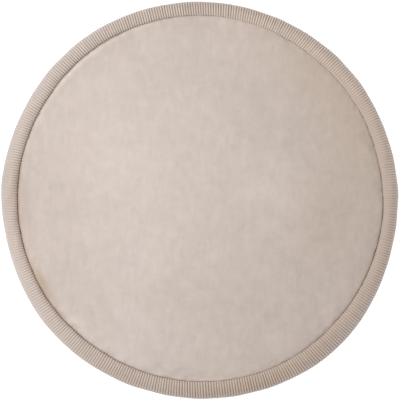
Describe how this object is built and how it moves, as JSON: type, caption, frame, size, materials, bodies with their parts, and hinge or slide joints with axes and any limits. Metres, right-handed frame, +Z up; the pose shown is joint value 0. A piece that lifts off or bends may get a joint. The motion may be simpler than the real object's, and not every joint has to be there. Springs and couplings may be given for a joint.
{
  "type": "baby play mat",
  "caption": "Round padded play mat with a soft plush centre and a stuffed rim of ribbed knit sewn round it, for a baby to lie and play on.",
  "frame": {"origin": "centre of the bounding box in plan, at the underside that lies on the floor", "axes": "+Z up, away from the floor, which is the mat's thin way; +X to the picture's right and +Y to its top"},
  "size_m": [0.9532, 0.9522, 0.0466],
  "materials": {
    "plush_velvet": "short soft pile, warm beige",
    "ribbed_knit": "wide ribbed knit, greyer beige"
  },
  "bodies": {
    "root": {"padded_centre": "plush_velvet", "ribbed_rim": "ribbed_knit"}
  },
  "joints": []
}
